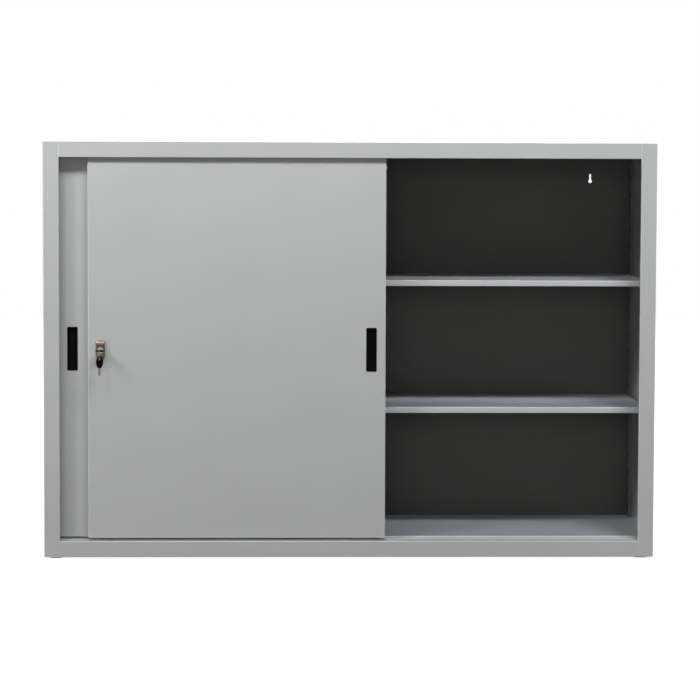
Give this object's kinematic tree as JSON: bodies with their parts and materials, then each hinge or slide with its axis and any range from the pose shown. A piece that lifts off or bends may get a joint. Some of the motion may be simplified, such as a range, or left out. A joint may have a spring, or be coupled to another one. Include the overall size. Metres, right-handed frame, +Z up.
{
  "type": "sliding door cabinet",
  "caption": "Low steel office cabinet with two overlapping sliding doors on rollers, recessed finger pulls, a push lock, adjustable shelves and levelling feet.",
  "frame": {"origin": "on the floor, under the middle of the whole cabinet's box, the key in its lock included", "axes": "+X along the front to the right, +Y from the doors to the back panel, +Z up"},
  "size_m": [1.5, 0.5088, 1.0225],
  "materials": {
    "frame_paint": "fine powder coat, satin light grey",
    "door_paint": "fine powder coat, satin light grey",
    "shelf_paint": "fine powder coat, satin light grey",
    "interior_paint": "fine powder coat, satin grey",
    "handle_plastic": "moulded black plastic, fine grain",
    "nylon": "natural nylon",
    "track_steel": "light grey, rubbed on the ridges",
    "zinc_steel": "zinc plated",
    "stop_rubber": "black rubber",
    "foot_plastic": "black moulded pad",
    "lock_chrome": "bright chrome on zinc die-casting",
    "key_nickel": "worn nickel on brass"
  },
  "bodies": {
    "carcass": {"side_panel_left": "frame_paint", "side_panel_right": "frame_paint", "top_panel": "frame_paint", "floor_panel": "interior_paint", "back_panel": "interior_paint", "front_rail": "frame_paint", "rear_rail": "frame_paint", "front_upright_left": "interior_paint", "front_upright_right": "interior_paint", "rear_upright_left": "interior_paint", "rear_upright_right": "interior_paint", "lower_shelf": "shelf_paint", "lower_shelf_rib": "shelf_paint", "lower_shelf_clips": "zinc_steel", "upper_shelf": "shelf_paint", "upper_shelf_rib": "shelf_paint", "upper_shelf_clips": "zinc_steel", "top_track": "track_steel", "bottom_track": "track_steel", "door_stops": "stop_rubber", "door_stop_screws": "zinc_steel", "foot_brackets": "zinc_steel"},
    "front_door": {"front_door_panel": "door_paint", "front_door_stiffener": "door_paint", "front_door_handle": "handle_plastic", "front_door_top_guides": "nylon", "front_door_roller_brackets": "zinc_steel", "front_door_roller_axles": "zinc_steel", "lock_housing": "lock_chrome", "lock_clip": "zinc_steel"},
    "rear_door": {"rear_door_panel": "door_paint", "rear_door_stiffener": "door_paint", "rear_door_handle": "handle_plastic", "rear_door_top_guides": "nylon", "rear_door_roller_brackets": "zinc_steel", "rear_door_roller_axles": "zinc_steel", "interlock_strip": "door_paint"},
    "front_door_left_roller": {"front_door_roller_left": "nylon"},
    "front_door_right_roller": {"front_door_roller_right": "nylon"},
    "rear_door_left_roller": {"rear_door_roller_left": "nylon"},
    "rear_door_right_roller": {"rear_door_roller_right": "nylon"},
    "lock_button": {"lock_barrel": "lock_chrome"},
    "key": {"lock_plug": "lock_chrome", "key_blade": "key_nickel", "key_bow": "handle_plastic", "key_ring": "key_nickel"},
    "spare_key": {"spare_key_bow": "handle_plastic", "spare_key_blade": "key_nickel"},
    "front_left_foot": {"foot_pad_front_left": "foot_plastic", "foot_stud_front_left": "zinc_steel"},
    "front_right_foot": {"foot_pad_front_right": "foot_plastic", "foot_stud_front_right": "zinc_steel"},
    "rear_left_foot": {"foot_pad_rear_left": "foot_plastic", "foot_stud_rear_left": "zinc_steel"},
    "rear_right_foot": {"foot_pad_rear_right": "foot_plastic", "foot_stud_rear_right": "zinc_steel"}
  },
  "joints": [
    {"name": "front_door_slide", "type": "slide", "parent": "carcass", "child": "front_door", "axis": [1, 0, 0], "range_m": [-0.0742, 0.6291]},
    {"name": "rear_door_slide", "type": "slide", "parent": "carcass", "child": "rear_door", "axis": [1, 0, 0], "range_m": [0, 0.7033]},
    {"name": "front_door_left_roller_spin", "type": "hinge", "parent": "front_door", "child": "front_door_left_roller", "pos_m": [-0.572, -0.19007, 0.0544], "axis": [0, 1, 0], "continuous": true},
    {"name": "front_door_right_roller_spin", "type": "hinge", "parent": "front_door", "child": "front_door_right_roller", "pos_m": [0.0171, -0.19007, 0.0544], "axis": [0, 1, 0], "continuous": true},
    {"name": "rear_door_left_roller_spin", "type": "hinge", "parent": "rear_door", "child": "rear_door_left_roller", "pos_m": [-0.6462, -0.16507, 0.0544], "axis": [0, 1, 0], "continuous": true},
    {"name": "rear_door_right_roller_spin", "type": "hinge", "parent": "rear_door", "child": "rear_door_right_roller", "pos_m": [-0.0571, -0.16507, 0.0544], "axis": [0, 1, 0], "continuous": true},
    {"name": "lock_push", "type": "slide", "parent": "front_door", "child": "lock_button", "axis": [0, 1, 0], "range_m": [0, 0.008], "stiffness_N_per_m": 150, "springref_m": -0.012},
    {"name": "key_turn", "type": "hinge", "parent": "lock_button", "child": "key", "pos_m": [-0.6111, -0.21557, 0.5131], "axis": [0, 1, 0], "range_deg": [0, 90]},
    {"name": "spare_key_hang", "type": "hinge", "parent": "key", "child": "spare_key", "pos_m": [-0.6111, -0.24472, 0.49765], "axis": [0, 1, 0], "range_deg": [-90, 0]},
    {"name": "front_left_foot_screw", "type": "slide", "parent": "carcass", "child": "front_left_foot", "axis": [0, 0, -1], "range_m": [0, 0.01]},
    {"name": "front_right_foot_screw", "type": "slide", "parent": "carcass", "child": "front_right_foot", "axis": [0, 0, -1], "range_m": [0, 0.01]},
    {"name": "rear_left_foot_screw", "type": "slide", "parent": "carcass", "child": "rear_left_foot", "axis": [0, 0, -1], "range_m": [0, 0.01]},
    {"name": "rear_right_foot_screw", "type": "slide", "parent": "carcass", "child": "rear_right_foot", "axis": [0, 0, -1], "range_m": [0, 0.01]}
  ],
  "couplings": [
    {"joint": "front_door_left_roller_spin", "follows": "front_door_slide", "rad_per_m": 133.33},
    {"joint": "front_door_right_roller_spin", "follows": "front_door_slide", "rad_per_m": 133.33},
    {"joint": "rear_door_left_roller_spin", "follows": "rear_door_slide", "rad_per_m": 133.33},
    {"joint": "rear_door_right_roller_spin", "follows": "rear_door_slide", "rad_per_m": 133.33},
    {"joint": "spare_key_hang", "follows": "key_turn", "ratio": -1}
  ]
}
